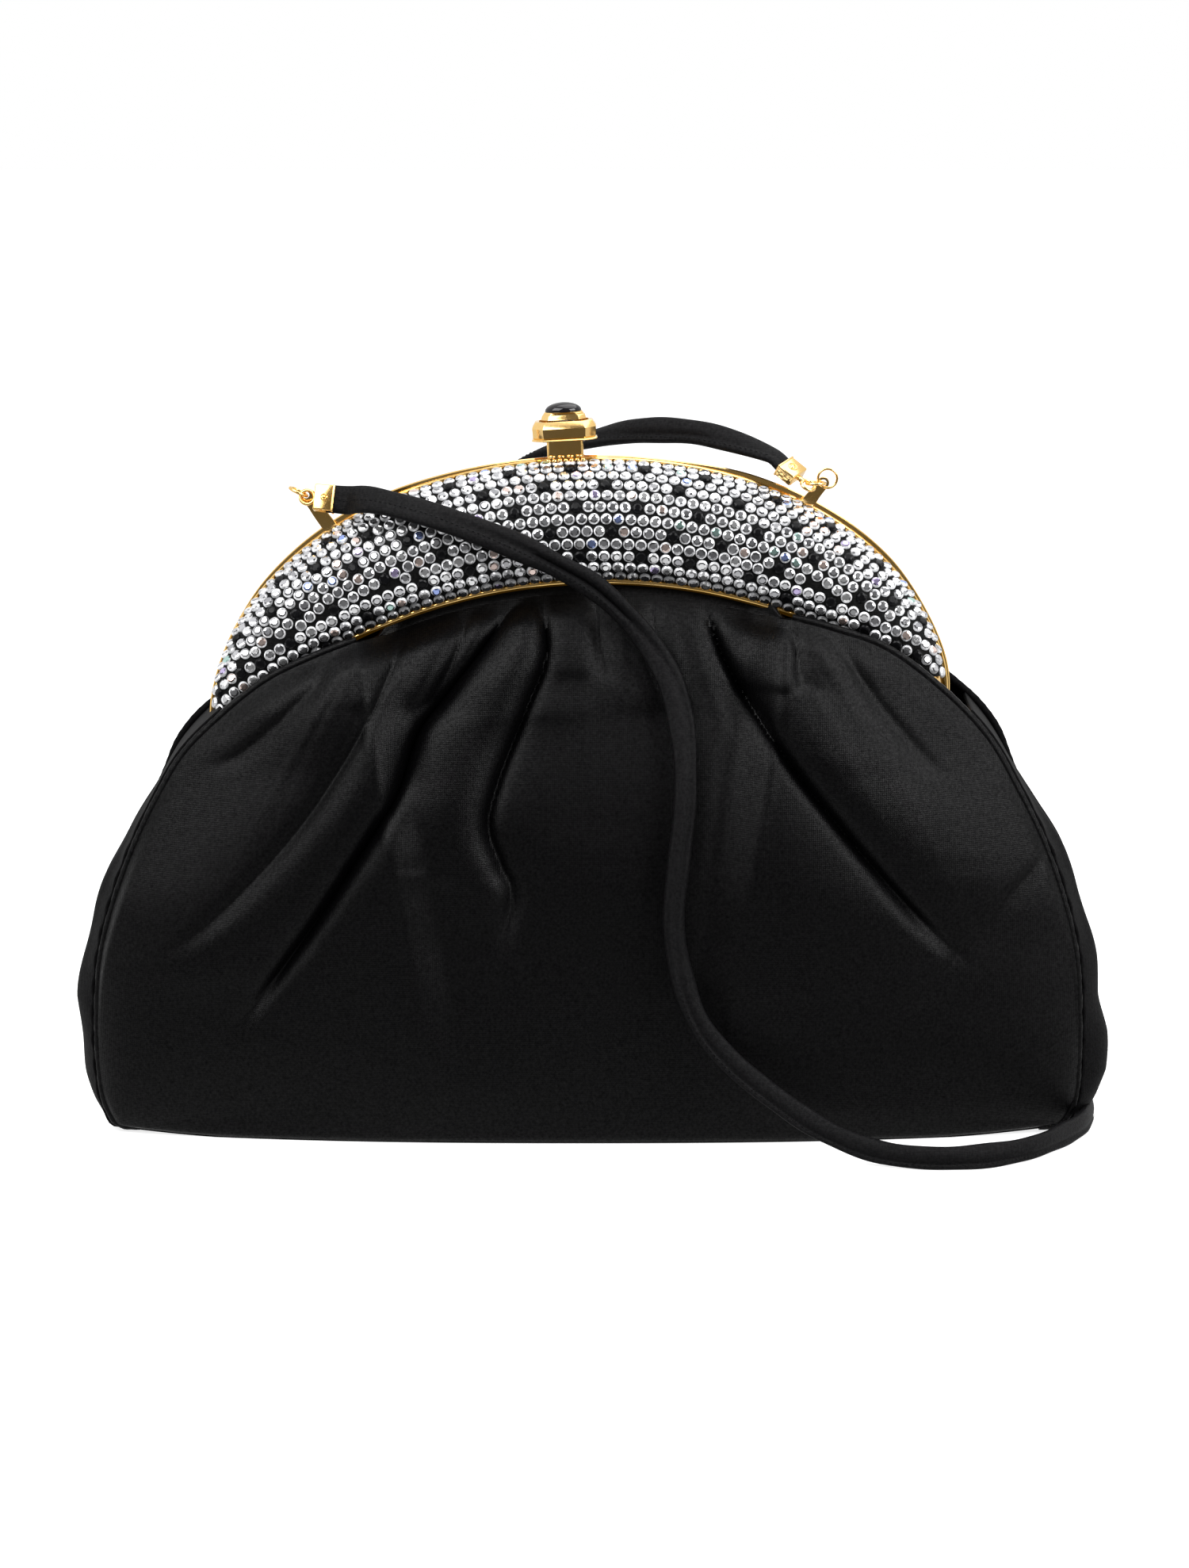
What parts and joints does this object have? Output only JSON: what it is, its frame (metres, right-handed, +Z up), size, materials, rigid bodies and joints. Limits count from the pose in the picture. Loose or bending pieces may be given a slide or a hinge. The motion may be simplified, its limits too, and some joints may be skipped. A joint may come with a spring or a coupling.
{
  "type": "clutch purse",
  "caption": "Evening clutch with a gathered satin pouch, a hinged crystal-set metal frame, a push-button clasp and a thin shoulder strap.",
  "frame": {"origin": "middle of the base, on the surface the bag stands on", "axes": "+X along the bag's width, to the right seen from the front; +Y towards the back; +Z up"},
  "size_m": [0.2199, 0.0965, 0.154],
  "materials": {
    "polished_gold": "polished plate",
    "crystal": "faceted, foil-backed",
    "onyx": "polished stone",
    "black_satin": "satin weave",
    "lining_cloth": "plain weave",
    "board": "matt",
    "spring_steel": "bright"
  },
  "bodies": {
    "front_half": {"base_board": "board", "button_spring": "spring_steel", "cap_rivet_left": "polished_gold", "cap_rivet_right": "polished_gold", "clasp_collar": "polished_gold", "clasp_post": "polished_gold", "end_cap_left": "polished_gold", "end_cap_right": "polished_gold", "front_cloth_retainer": "spring_steel", "front_crystal_bed": "crystal", "front_frame": "polished_gold", "front_panel": "black_satin", "front_piping_left": "black_satin", "front_piping_right": "black_satin", "gusset": "black_satin", "hinge_pin_left": "polished_gold", "hinge_pin_right": "polished_gold", "lining": "lining_cloth", "link_left": "polished_gold", "link_right": "polished_gold", "lug_left": "polished_gold", "lug_right": "polished_gold", "rear_panel": "black_satin", "rear_piping_left": "black_satin", "rear_piping_right": "black_satin", "strap": "black_satin"},
    "rear_half": {"rear_frame": "polished_gold", "rear_crystal_bed": "crystal", "rear_cloth_retainer": "spring_steel", "catch_plate": "spring_steel"},
    "button": {"push_button": "polished_gold", "button_stem": "spring_steel", "onyx_cabochon": "onyx", "latch_pawl": "spring_steel"},
    "jump_ring": {"jump_ring": "polished_gold"}
  },
  "joints": [
    {"name": "frame_hinge", "type": "hinge", "parent": "front_half", "child": "rear_half", "pos_m": [-0.0008, 0, 0.0845], "axis": [-0.9986, 0, -0.0523], "range_deg": [0, 40], "deforming": ["rear_panel", "rear_piping_left", "rear_piping_right"]},
    {"name": "clasp_button", "type": "slide", "parent": "front_half", "child": "button", "axis": [0.0523, 0, -0.9986], "range_m": [0, 0.0012], "stiffness_N_per_m": 250, "springref_m": -0.002, "deforming": ["button_spring"]},
    {"name": "jump_ring_swing", "type": "hinge", "parent": "front_half", "child": "jump_ring", "pos_m": [0.05045, -0.002, 0.1372], "axis": [0, 1, 0], "range_deg": [-20, 135]}
  ]
}
